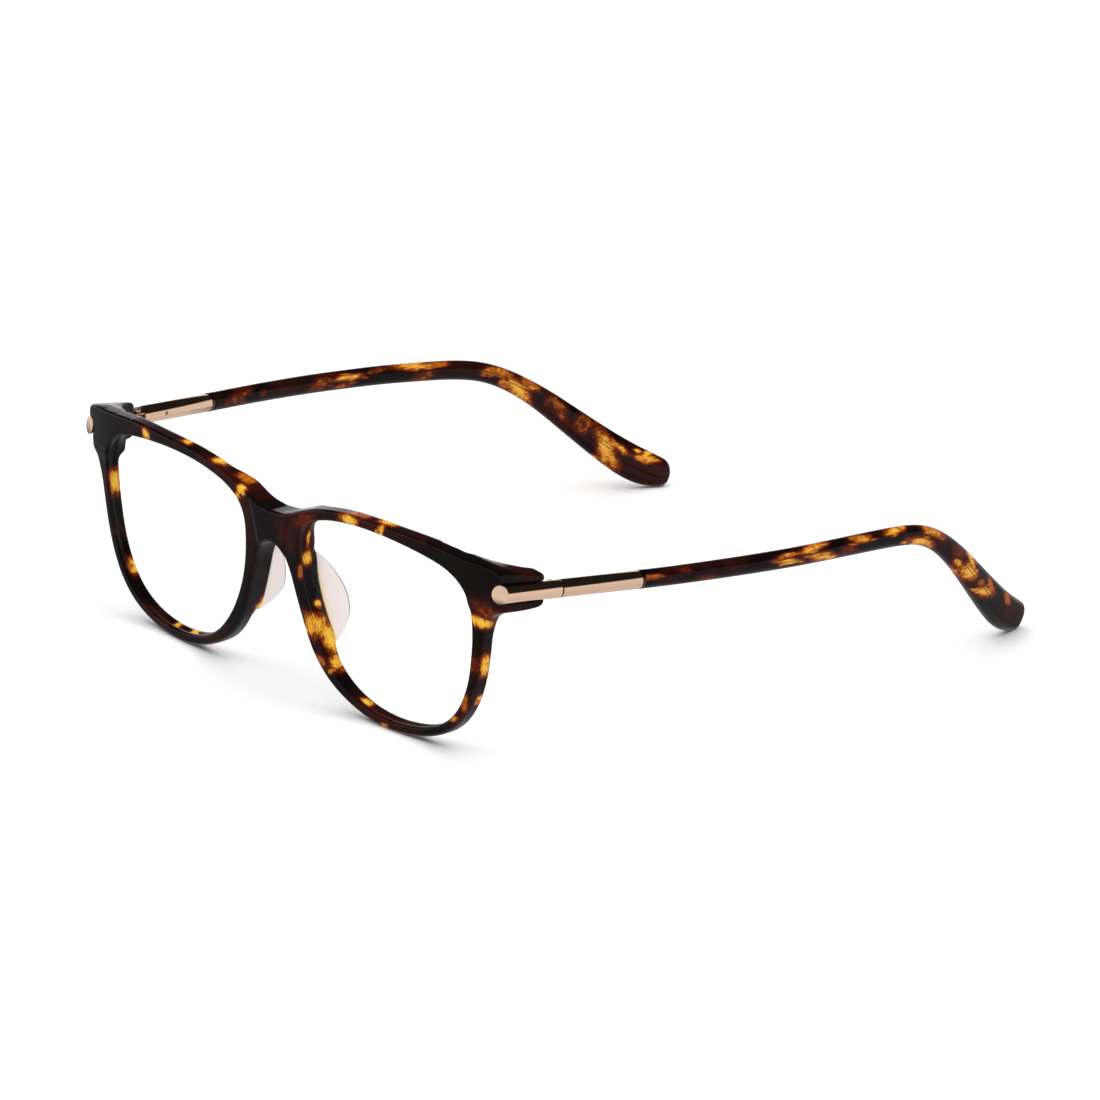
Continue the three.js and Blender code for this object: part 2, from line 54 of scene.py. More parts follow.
# ---- dimensions, mm, as drawn before the CAD was centred ----
WRAP_RADIUS, END_WRAP_FROM, END_WRAP, END_WRAP_SPAN = 500.0, 56.0, 0.9, 12.0
TILT = math.radians(3)
FRONT_FACE, RIM_BACK, BRIDGE_BACK, NOSE_BLOCK_BACK = -0.4, 2.7, 4.5, 4.3
GROOVE_DEPTH, GROOVE_HALF_WIDTH, GROOVE_AT = 0.5, 0.6, 1.1
BRIDGE_RISE, RISE_HALF_WIDTH, RISE_WIDENS, RISE_FROM = 0.22, 4.2, 0.24, 29.3
RIM_ROUND, BROW_ROUND, TOP_ROUND, EDGE_ROUND = 0.6, 0.32, 0.4, 0.3
# Where the thick parts fade into the rims, [x] and [height], and where the brow's edge gets crisper.
BRIDGE_FADE, NOSE_BLOCK_FADE, BROW_ROUND_SPAN = (17.0, 9.5), (8.0, 14.0), (33, 38)
END_PIECE_FROM = 50.0
# The end piece's top falls to the rear and, from SLOPE_FROM outwards, to the side.
TOP_HEIGHT, TOP_FALL, TOP_SLOPE, SLOPE_FROM = 41.85, 0.16, 0.22, 62.5
ROD_START = np.array([67.9, 3.2, 35.7])
ROD_RADIUS, ROD_LENGTH = 1.8, 13.0
ROD_CLEARANCE, ROD_BEVEL = 0.05, 0.07
ROD_SCREW_AT, ROD_SCREW_HOLE, ROD_SCREW_SEAT = 5.6, 1.15, 3.4
PIN_AT, PIN_INSET, KNUCKLE_RADIUS = 11.7, -0.9, 1.3
PIN_HOLE, PIN_HEAD_HOLE, PIN_HEAD_FROM, FORK_HALF_GAP = 0.55, 0.87, 1.1, 0.7
SEAT_SCREW_AT, SEAT_SCREW_HOLE = 18.8, 0.42
SLEEVE_START, SLEEVE_END, SLEEVE_BORE = 13.3, 31.1, 1.4
COLLAR_SPAN, COLLAR_BORE, COLLAR_RADIUS = (31.14, 31.76), 1.3, 1.88
ARM_START, ARM_HEAD_RADIUS, PEG_RADIUS, PEG_LENGTH = 31.8, 1.85, 1.15, 4.6
SPRING_SPAN, SPRING_TURNS, SPRING_RADIUS, SPRING_WIRE = (19.7, 23.9), 6, 0.85, 0.16


def unit(v):
    v = np.asarray(v, float)
    return v / np.linalg.norm(v)


ROD_DIRECTION = unit([3.15, 30.19, -1.95])
ROD_UP = unit(np.array([0, 0, 1]) - ROD_DIRECTION[2] * ROD_DIRECTION)
ROD_OUT = np.cross(ROD_DIRECTION, ROD_UP)
ROD_HEAD_NORMAL = unit([0.3, -0.94, 0.16])
ROD_AXES = np.array([ROD_OUT, ROD_DIRECTION, ROD_UP])

# The CAD was centred after it was drawn; the left hinge pin says by how much.
pin = ROD_START + PIN_AT * ROD_DIRECTION + PIN_INSET * ROD_OUT
fold_left = next(j for j in frame["joints"] if j["name"] == "fold_left")
CENTRING = np.array(fold_left["pos_m"]) * 1000 - pin

# Outlines of the front seen square on, [x, height]; the bridge and nose block are only thicker areas.
OUTER_HALF = [
    (0, 36.5), (5.0, 37.1), (9.8, 38.9), (14.4, 40.4), (19.6, 41.4), (27.0, 42.1),
    (37.0, 42.2), (47.4, 42.05), (57.7, 41.4), (64.6, 40.8), (66.9, 40.3), (67.8, 39.0),
    (67.8, 36.2), (66.6, 32.4), (64.5, 29.4), (63.1, 26.0), (62.2, 21.4), (61.0, 16.3),
    (59.0, 11.3), (55.9, 6.8), (51.7, 3.5), (46.1, 1.3), (40.5, 0.3), (35.8, 0),
    (31.1, 0.3), (25.8, 1.4), (19.9, 3.7), (15.3, 6.7), (11.6, 11.0), (9.1, 16.2),
    (6.9, 21.7), (5.3, 25.9), (3.0, 29.0), (0, 30.0),
]
APERTURE = [
    (8.8, 28.8), (9.0, 32.5), (10.4, 35.4), (13.6, 37.5), (18.6, 39.0), (25.8, 39.95),
    (33.0, 40.1), (41.2, 39.6), (48.9, 38.6), (54.1, 37.3), (57.7, 35.1), (59.8, 31.5),
    (60.2, 27.3), (59.6, 21.1), (58.1, 14.7), (55.3, 9.4), (51.5, 5.8), (45.8, 3.3),
    (39.1, 2.2), (33.0, 2.2), (26.8, 3.3), (21.1, 5.8), (16.7, 9.6), (13.2, 14.3),
    (10.6, 19.6), (9.3, 24.3),
]
BRIDGE = [
    (-8.5, 29.5), (-8.9, 34.2), (-10.6, 36.6), (-13.4, 38.3), (-17.5, 39.6), (-17.5, 43.5),
    (-8.4, 44), (0, 44), (8.4, 44), (17.5, 43.5), (17.5, 39.6), (13.4, 38.3), (10.6, 36.6),
    (8.9, 34.2), (8.5, 29.5), (5.4, 26.6), (2.9, 25), (0, 25), (-2.9, 25), (-5.4, 26.6),
]
NOSE_BLOCK = [
    (8.6, 29.4), (9.0, 24.2), (10.3, 19.4), (12.9, 14.1), (16.4, 9.5), (18.4, 7.4), (17.6, 6.6),
    (14.6, 9.0), (10.8, 12.6), (7.4, 16.3), (5.2, 21.9), (3.6, 26.1), (4.0, 29.4),
]
# The end piece from above, [x, y], and from the side, [y, z].
END_PIECE_PLAN = [
    (56.5, 1.4), (60.0, 2.1), (66.0, 3.5), (67.6, 4.3), (69.0, 12.9), (68.5, 13.5),
    (67.2, 13.5), (66.0, 12.5), (65.5, 10.8), (64.6, 9.0), (62.9, 7.5), (60.5, 6.4),
    (58.2, 5.2),
]
END_PIECE_SIDE = [
    (-1.0, 42.5), (14.5, 42.5), (13.5, 33.2), (13.0, 32.2), (12.1, 31.8), (2.0, 31.9), (-1.0, 33.0),
]
# Top of the end piece, falling towards the rear, [y, z]; and the brow line it continues, [x, height].
END_PIECE_TOP = [
    (-6.0, 44.0), (0.0, 43.1), (2.4, 42.3), (4.0, 41.45), (5.6, 40.65), (7.3, 40.25), (9.0, 40.2),
    (10.8, 40.0), (12.2, 39.35), (13.2, 38.2), (13.9, 36.6),
]
BROW_TOP = [(50.0, 42.1), (54.0, 41.65), (57.7, 41.2), (61.0, 40.9), (64.6, 40.75), (70.0, 40.5)]
# The arm's middle line from the sleeve to the tip.
ARM_LINE = [
    (72.2, 45.3, 33.05), (72.8, 60.0, 32.2), (72.4, 72.5, 31.4), (71.3, 84.0, 30.7),
    (70.2, 93.0, 30.0), (69.3, 100.0, 28.9), (68.6, 105.5, 27.1), (68.1, 110.4, 24.2),
    (67.3, 115.0, 20.5), (65.9, 119.6, 16.3), (64.1, 124.0, 12.2), (62.1, 128.4, 8.2),
    (59.9, 133.0, 4.55), (57.1, 138.4, 1.0),
]
# How far each temple was bent up or down by hand from the drawn line, [y, mm].
ARM_BEND = {
    "left": [(90, 0), (95, 0.15), (100, 0.5), (105.5, 1.25), (110.4, 1.4), (115, 0.95), (119.6, 0.45),
             (124, 0.15), (130, 0)],
    "right": [(78, 0), (86, -0.2), (93, -0.3), (100, -0.5), (105.5, -1.05), (110.4, -1.15), (115, -0.8),
              (119.6, -0.6), (124, -0.45), (130, -0.2), (137, 0)],
}
# Along the arm: [share of its length, half height, half width].
ARM_SECTION = [
    (0, 1.85, 1.8), (0.3, 1.9, 1.8), (0.6, 1.98, 1.8), (0.68, 2.2, 1.8), (0.76, 2.65, 1.75),
    (0.88, 3.4, 1.65), (0.96, 3.85, 1.5), (1, 3.7, 1.3),
]


# ---- curves ----
def catmull(points, closed, per_span):
    """Centripetal Catmull-Rom curve through points, sampled per_span times between each two."""
    p = np.asarray(points, float)
    if closed:
        p = np.vstack([p[-1:], p, p[:2]])
    else:
        p = np.vstack([2 * p[:1] - p[1:2], p, 2 * p[-1:] - p[-2:-1]])
    out = []
    for p0, p1, p2, p3 in zip(p[:-3], p[1:-2], p[2:-1], p[3:]):
        t1 = np.linalg.norm(p1 - p0) ** 0.5
        t2 = t1 + np.linalg.norm(p2 - p1) ** 0.5
        t3 = t2 + np.linalg.norm(p3 - p2) ** 0.5
        t = np.linspace(t1, t2, per_span, endpoint=False)[:, None]
        a1 = (t1 - t) / t1 * p0 + t / t1 * p1
        a2 = (t2 - t) / (t2 - t1) * p1 + (t - t1) / (t2 - t1) * p2
        a3 = (t3 - t) / (t3 - t2) * p2 + (t - t2) / (t3 - t2) * p3
        b1 = (t2 - t) / t2 * a1 + t / t2 * a2
        b2 = (t3 - t) / (t3 - t1) * a2 + (t - t1) / (t3 - t1) * a3
        out.append((t2 - t) / (t2 - t1) * b1 + (t - t1) / (t2 - t1) * b2)
    if not closed:
        out.append(p[-2:-1])
    return np.vstack(out)


def evenly(points, closed, step):
    """The same curve with points an even step apart."""
    p = np.vstack([points, points[:1]]) if closed else points
    length = np.concatenate([[0], np.cumsum(np.linalg.norm(np.diff(p, axis=0), axis=1))])
    count = int(round(length[-1] / step))
    s = np.linspace(0, length[-1], count + 1)[:count if closed else None]
    return np.column_stack([np.interp(s, length, p[:, k]) for k in range(p.shape[1])])


def softened(points, closed, sigma, step):
    """Rounds off the small kinks of an evenly stepped curve; an open one keeps its ends."""
    reach = int(4 * sigma / step)
    weights = np.exp(-0.5 * (np.arange(-reach, reach + 1) * step / sigma) ** 2)
    weights /= weights.sum()
    if closed:
        padded = np.vstack([points[-reach:], points, points[:reach]])
    else:
        before = 2 * points[0] - points[reach:0:-1]
        after = 2 * points[-1] - points[-2:-reach - 2:-1]
        padded = np.vstack([before, points, after])
    return np.column_stack([np.convolve(padded[:, k], weights, "valid") for k in range(points.shape[1])])


def outline(points, sigma=0.7, step=0.4):
    return softened(evenly(catmull(points, True, 12), True, step), True, sigma, step)


def smoothstep(low, high, value):
    t = np.clip((value - low) / (high - low), 0, 1)
    return t * t * (3 - 2 * t)


# ---- distance fields, negative inside ----
def polygon_distance(px, py, points):
    best = np.full(px.shape, 1e9)
    inside = np.zeros(px.shape, bool)
    for (ax, ay), (bx, by) in zip(points, np.roll(points, -1, axis=0)):
        dx, dy = bx - ax, by - ay
        t = np.clip(((px - ax) * dx + (py - ay) * dy) / (dx * dx + dy * dy), 0, 1)
        best = np.minimum(best, (px - ax - t * dx) ** 2 + (py - ay - t * dy) ** 2)
        if ay != by:
            inside ^= ((ay > py) != (by > py)) & (px < dx * (py - ay) / dy + ax)
    return np.where(inside, -1, 1) * np.sqrt(best)


def both(a, b, radius):
    """Intersection with a rounded edge."""
    u, v = np.maximum(radius + a, 0), np.maximum(radius + b, 0)
    return np.minimum(-radius, np.maximum(a, b)) + np.hypot(u, v)


def either(a, b, radius):
    """Union with a filleted corner."""
    u, v = np.maximum(radius - a, 0), np.maximum(radius - b, 0)
    return np.maximum(radius, np.minimum(a, b)) - np.hypot(u, v)


def blurred(field):
    for axis in range(3):
        field = 0.25 * np.roll(field, 1, axis) + 0.5 * field + 0.25 * np.roll(field, -1, axis)
    return field


def sampled(field, p):
    i = np.clip(np.floor(p).astype(int), 0, np.array(field.shape) - 2)
    f = p - i
    total = 0
    for dx in (0, 1):
        for dy in (0, 1):
            for dz in (0, 1):
                weight = (f[:, 0] if dx else 1 - f[:, 0]) * (f[:, 1] if dy else 1 - f[:, 1])
                weight = weight * (f[:, 2] if dz else 1 - f[:, 2])
                total = total + weight * field[i[:, 0] + dx, i[:, 1] + dy, i[:, 2] + dz]
    return total


def surface_of(field):
    """Closed mesh of quads on the zero level, in grid units: (points, quads)."""
    cells = np.array(field.shape) - 1
    crossings, quads, flips = [], [], []
    for axis in range(3):
        here = [slice(None)] * 3
        there = [slice(None)] * 3
        here[axis], there[axis] = slice(0, -1), slice(1, None)
        low, high = field[tuple(here)], field[tuple(there)]
        at = np.argwhere((low < 0) != (high < 0))
        a, b = low[tuple(at.T)], high[tuple(at.T)]
        point = at.astype(float)
        point[:, axis] += a / (a - b)
        one, two = (axis + 1) % 3, (axis + 2) % 3
        ring = []
        for back_one, back_two in ((0, 0), (1, 0), (1, 1), (0, 1)):
            cell = at.copy()
            cell[:, one] -= back_one
            cell[:, two] -= back_two
            ring.append((cell[:, 0] * cells[1] + cell[:, 1]) * cells[2] + cell[:, 2])
        quads.append(np.column_stack(ring))
        crossings.append(point)
        flips.append(a > b)
    quads = np.vstack(quads)
    crossings = np.vstack(crossings)
    flips = np.concatenate(flips)
    quads[flips] = quads[flips][:, ::-1]
    _, quads = np.unique(quads, return_inverse=True)
    quads = quads.reshape(-1, 4)
    count = np.bincount(quads.ravel())
    points = np.column_stack([
        np.bincount(quads.ravel(), np.repeat(crossings[:, k], 4)) / count for k in range(3)])
    a = np.concatenate([quads[:, k] for k in range(4)])
    b = np.concatenate([quads[:, (k + 1) % 4] for k in range(4)])
    degree = np.bincount(a, minlength=len(points))[:, None]
    for _ in range(4):
        around = np.column_stack([np.bincount(a, points[b, k], len(points)) for k in range(3)])
        points = 0.5 * points + 0.5 * around / degree
        for _ in range(2):
            value = sampled(field, points)
            ahead, behind = ([sampled(field, points + e) for e in np.eye(3) * h] for h in (0.4, -0.4))
            slope = (np.column_stack(ahead) - np.column_stack(behind)) / 0.8
            points = points - slope * (value / np.maximum((slope ** 2).sum(1), 1e-9))[:, None]
    return points, quads


# ---- meshes ----
def place(points):
    """From the drawing's millimetres to the frame's metres."""
    return (np.asarray(points, float) + CENTRING) * 0.001


def mirrored(points, faces, side):
    if side > 0:
        return points, faces
    return points * np.array([-1, 1, 1]), [tuple(reversed(f)) for f in faces]


def ring_faces(rows, around):
    """Faces of a closed body made of rings of points, with a cap on each end."""
    last = rows * around
    faces = [tuple(range(around)), tuple(range(last - 1, last - around - 1, -1))]
    for a in range(0, last - around, around):
        for k in range(around):
            m = (k + 1) % around
            faces.append((a + k, a + around + k, a + around + m, a + m))
    return faces


def make_piece(name, points, faces, smooth_angle=None):
    mesh = bpy.data.meshes.new(name)
    mesh.from_pydata([tuple(p) for p in points], [], [tuple(f) for f in faces])
    mesh.validate()
    piece = bpy.data.objects.new(name, mesh)
    bpy.context.scene.collection.objects.link(piece)
    mesh.polygons.foreach_set("use_smooth", [True] * len(mesh.polygons))
    if smooth_angle is not None:
        mesh.set_sharp_from_angle(angle=math.radians(smooth_angle))
    return piece


def faced_outwards(piece):
    bm = bmesh.new()
    bm.from_mesh(piece.data)
    bmesh.ops.recalc_face_normals(bm, faces=bm.faces)
    bm.to_mesh(piece.data)
    bm.free()
    return piece


def apply_modifiers(piece):
    graph = bpy.context.evaluated_depsgraph_get()
    mesh = bpy.data.meshes.new_from_object(piece.evaluated_get(graph))
    piece.modifiers.clear()
    piece.data = mesh


def cut_by(piece, cutters):
    for cutter in cutters:
        modifier = piece.modifiers.new("cut", "BOOLEAN")
        modifier.operation = "DIFFERENCE"
        modifier.solver = "EXACT"
        modifier.object = cutter
    apply_modifiers(piece)
    for cutter in cutters:
        bpy.data.objects.remove(cutter)


def bevel(piece, width, segments=3, angle=35):
    modifier = piece.modifiers.new("edge", "BEVEL")
    modifier.width = width
    modifier.segments = segments
    modifier.limit_method = "ANGLE"
    modifier.angle_limit = math.radians(angle)
    apply_modifiers(piece)


def lathed(profile, segments=128):
    """Turned solid about the rod, from a closed [radius, s] profile: (n, s, u) points and faces."""
    points, faces, rows = [], [], []
    for radius, s in profile:
        if radius == 0:
            rows.append([len(points)] * segments)
            points.append((0, s, 0))
            continue
        rows.append(list(range(len(points), len(points) + segments)))
        for k in range(segments):
            angle = 2 * math.pi * k / segments
            points.append((radius * math.cos(angle), s, radius * math.sin(angle)))
    for low, high in zip(rows, rows[1:] + rows[:1]):
        if low[0] == low[1] and high[0] == high[1]:
            continue
        for k in range(segments):
            m = (k + 1) % segments
            faces.append(tuple(dict.fromkeys([low[k], high[k], high[m], low[m]])))
    return np.array(points, float), faces


def from_rod(points):
    """From the rod's own (n, s, u) millimetres to the drawing's."""
    return ROD_START + np.asarray(points, float) @ ROD_AXES


def box_solid(low, high):
    (x0, y0, z0), (x1, y1, z1) = low, high
    points = [(x, y, z) for x in (x0, x1) for y in (y0, y1) for z in (z0, z1)]
    faces = [(0, 1, 3, 2), (4, 6, 7, 5), (0, 4, 5, 1), (2, 3, 7, 6), (0, 2, 6, 4), (1, 5, 7, 3)]
    return np.array(points, float), faces


def cylinder_solid(radius, centre, axis, start, end, segments=48):
    """Closed cylinder in (n, s, u); axis 0, 1 or 2; centre gives the other coordinates."""
    one, two = (axis + 1) % 3, (axis + 2) % 3
    points = []
    for along in (start, end):
        for k in range(segments):
            angle = 2 * math.pi * k / segments
            p = list(centre)
            p[axis] = along
            p[one] += radius * math.cos(angle)
            p[two] += radius * math.sin(angle)
            points.append(p)
    faces = [tuple(range(segments - 1, -1, -1)), tuple(range(segments, 2 * segments))]
    for k in range(segments):
        m = (k + 1) % segments
        faces.append((k, m, segments + m, segments + k))
    return np.array(points, float), faces


def finish_piece(piece, side, body, replaced, smooth_angle=35):
    mesh = piece.data
    local = np.array([v.co for v in mesh.vertices], float)
    world = place(from_rod(local) * np.array([side, 1, 1]))
    for vertex, co in zip(mesh.vertices, world):
        vertex.co = co
    if side < 0:
        mesh.flip_normals()
    mesh.update()
    mesh.polygons.foreach_set("use_smooth", [True] * len(mesh.polygons))
    mesh.set_sharp_from_angle(angle=math.radians(smooth_angle))
    declare(piece, body, replaced)


def declare(piece, body, replaced):
    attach(piece, body)
    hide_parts(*replaced)


# ---- the front ----
def bent(x, depth, w):
    ends = np.maximum(0, np.abs(x) - END_WRAP_FROM) / END_WRAP_SPAN
    back = x * x / (2 * WRAP_RADIUS) + END_WRAP * ends ** 2 + depth
    return x, back * math.cos(TILT) - w * math.sin(TILT), w * math.cos(TILT) + back * math.sin(TILT)


def end_piece_added(body, x, y, z, w):
    """The rim's end with the end piece joined on and its top sloped; w is the height before bending."""
    plan = polygon_distance(x, y, outline(END_PIECE_PLAN, 0.35, 0.3))
    side = polygon_distance(y, z, outline(END_PIECE_SIDE, 0.45, 0.3))
    fillet = 0.3 + 1.5 * smoothstep(34.5, 31.5, z)
    body = either(body, both(plan, side, RIM_ROUND), fillet)
    brow = w - np.interp(x, *np.array(BROW_TOP).T)
    # The factors turn a height above a sloping top into a distance from it.
    slope = (z - (TOP_HEIGHT - TOP_FALL * y) + TOP_SLOPE * (x - SLOPE_FROM)) * 0.96
    fall = catmull(END_PIECE_TOP, False, 8)
    fall = (z - np.interp(y, fall[:, 0], fall[:, 1])) * 0.9
    return both(body, both(both(brow, slope, TOP_ROUND), fall, TOP_ROUND), TOP_ROUND)


def rod_cuts(body, x, y, z):
    """The end piece with the rod's channel and the hole for its screw."""
    from_head = np.stack([x, y, z], -1).reshape(-1, 3) - ROD_START
    n, s, u = (from_head @ ROD_AXES.T).T.reshape((3,) + x.shape)
    body = both(body, ROD_RADIUS + ROD_CLEARANCE - np.hypot(n, u), 0.12)
    screw_hole = np.maximum(np.hypot(s - ROD_SCREW_AT, u) - ROD_SCREW_HOLE, n + ROD_SCREW_SEAT)
    return np.maximum(body, -screw_hole)


def front_mesh(step=0.28):
    """The acetate front as a fine quad mesh, in the drawing's millimetres."""
    half = np.arange(0, 70.3, step)
    depths = np.arange(-1.2, 14.6, step)
    heights = np.arange(-1.2, 43.8, step)
    x2, w2 = np.meshgrid(half, heights, indexing="ij")
    right = catmull(OUTER_HALF, False, 12)
    whole = np.vstack([right, (right[1:-1] * [-1, 1])[::-1]])
    outer = polygon_distance(x2, w2, softened(evenly(whole, True, 0.4), True, 0.7, 0.4))
    hole = polygon_distance(x2, w2, outline(APERTURE, 0.9))
    bridge = smoothstep(1.1, -0.9, polygon_distance(x2, w2, outline(BRIDGE)))
    bridge = bridge * smoothstep(*BRIDGE_FADE, x2)
    block = smoothstep(0.45, -0.35, polygon_distance(x2, w2, outline(NOSE_BLOCK)))
    block = block * smoothstep(*NOSE_BLOCK_FADE, w2)
    back = RIM_BACK + (BRIDGE_BACK - RIM_BACK) * np.maximum(bridge, block)
    rise_edge = RISE_HALF_WIDTH + RISE_WIDENS * (w2 - RISE_FROM)
    rise = smoothstep(rise_edge + 0.6, rise_edge - 0.4, x2) * smoothstep(24, 27, w2)
    face = FRONT_FACE - BRIDGE_RISE * rise
    rounding = RIM_ROUND + (BROW_ROUND - RIM_ROUND) * smoothstep(*BROW_ROUND_SPAN, w2)

    depth = depths[None, :, None]
    outer, hole, back, face, rounding = (v[:, None, :] for v in (outer, hole, back, face, rounding))
    slab = both(face - depth, depth - back, EDGE_ROUND)
    body = both(outer + 0 * depth, slab, rounding)

    end = half > END_PIECE_FROM
    x, y, z = bent(half[end][:, None, None], depth, heights[None, None, :])
    x = x + 0 * y
    body[end] = end_piece_added(body[end], x, y, z, heights[None, None, :] + 0 * y)
    body = both(body, -hole + 0 * depth, EDGE_ROUND)
    body[end] = rod_cuts(body[end], x, y, z)

    groove = (np.abs(depth - GROOVE_AT) / GROOVE_HALF_WIDTH + hole / GROOVE_DEPTH - 1) * 0.38
    body = np.maximum(body, -np.maximum(groove, -(hole + 1.0)))
    field = blurred(np.concatenate([body[:0:-1], body]))
    points, quads = surface_of(field.astype(np.float64))
    flat = points * step + np.array([-half[-1], depths[0], heights[0]])
    return np.column_stack(bent(*flat.T)), quads


points, quads = front_mesh()
front = make_piece("front_acetate", place(points), quads.tolist())
declare(front, "front", ["frame_front"])


# ---- temple arms ----
def arm_line(side):
    start = [ROD_START + s * ROD_DIRECTION for s in (ARM_START, ARM_START + 2, ARM_START + 4)]
    line = evenly(catmull(start + [np.array(p) for p in ARM_LINE], False, 24), False, 0.4)
    bend = np.array(ARM_BEND[side])
    line[:, 2] += np.interp(line[:, 1], bend[:, 0], bend[:, 1])
    return softened(line, False, 2.2, 0.4)


def arm_mesh(side, rings=300, around=56):
    """Points, faces, and for each point how far along the arm it lies and how high across it, mm."""
    line = arm_line(side)
    length = np.concatenate([[0], np.cumsum(np.linalg.norm(np.diff(line, axis=0), axis=1))])
    share = 1 - (1 - np.linspace(0, 1, rings)) ** 1.9
    s = share * length[-1]
    centre = np.column_stack([np.interp(s, length, line[:, k]) for k in range(3)])
    tangent = np.gradient(line, axis=0)
    tangent = np.column_stack([np.interp(s, length, tangent[:, k]) for k in range(3)])
    tangent /= np.linalg.norm(tangent, axis=1)[:, None]
    out = np.array([1.0, 0, 0]) - tangent[:, :1] * tangent
    out /= np.linalg.norm(out, axis=1)[:, None]
    up = np.cross(out, tangent)
    keys = np.array(ARM_SECTION)
    dense = np.linspace(0, 1, 401)
    sizes = []
    for k in (1, 2):
        curve = softened(np.interp(dense, keys[:, 0], keys[:, k])[:, None], False, 0.022, 0.0025)[:, 0]
        sizes.append(np.interp(share, dense, curve))
    half_height, half_width = sizes

    def rounding(part, power):
        """Narrows the last part of the arm to a rounded tip."""
        end = np.clip((share - (1 - part)) / part, 0, 1)
        return np.maximum(1 - end ** power, 0.0004) ** (1 / power)

    above = half_height * rounding(0.026, 2.1)
    under = half_height * rounding(0.10, 2.0)
    wide = half_width * rounding(0.02, 2.6)
    angles = 2 * np.pi * np.arange(around) / around
    square = 1 + 0.32 * smoothstep(0.55, 0.85, share)[:, None]
    c = np.sign(np.cos(angles)) * np.abs(np.cos(angles)) ** (1 / square)
    v = np.sign(np.sin(angles)) * np.abs(np.sin(angles)) ** (1 / square)
    height = v * np.where(v > 0, above[:, None], under[:, None])
    body = centre[:, None] + out[:, None] * (c * wide[:, None])[:, :, None]
    body += up[:, None] * height[:, :, None]

    # The front end is round, with a softened edge and a peg that goes into the sleeve.
    edge, tip = 0.12, 0.05
    rings_before = (
        (PEG_RADIUS - tip, -PEG_LENGTH), (PEG_RADIUS, 0.1 - PEG_LENGTH), (PEG_RADIUS, 0.0),
        (ARM_HEAD_RADIUS - edge, 0.0),
    )
    head = []
    for radius, at in rings_before:
        n, u = radius * np.cos(angles), radius * np.sin(angles)
        ring = np.column_stack([n, np.full(around, ARM_START + at), u])
        head.append(from_rod(ring))
    sideways = out[0] * (np.cos(angles) * wide[0])[:, None]
    body[0] = centre[0] + sideways + up[0] * (np.sin(angles) * above[0])[:, None] + edge * ROD_DIRECTION
    points = np.vstack(head + [body.reshape(-1, 3)])
    along = np.concatenate([np.zeros(around * len(head)), np.repeat(s, around)])
    across = np.concatenate([np.zeros(around * len(head)), height.ravel()])
    return points, ring_faces(len(points) // around, around), along, across


arms = {}
for name, side in SIDES.items():
    points, faces, along, across = arm_mesh(name)
    points, faces = mirrored(points, faces, side)
    arms[name] = make_piece(f"arm_{name}", place(points), faces, 50)
    declare(arms[name], f"temple_{name}", [f"temple_arm_{name}"])


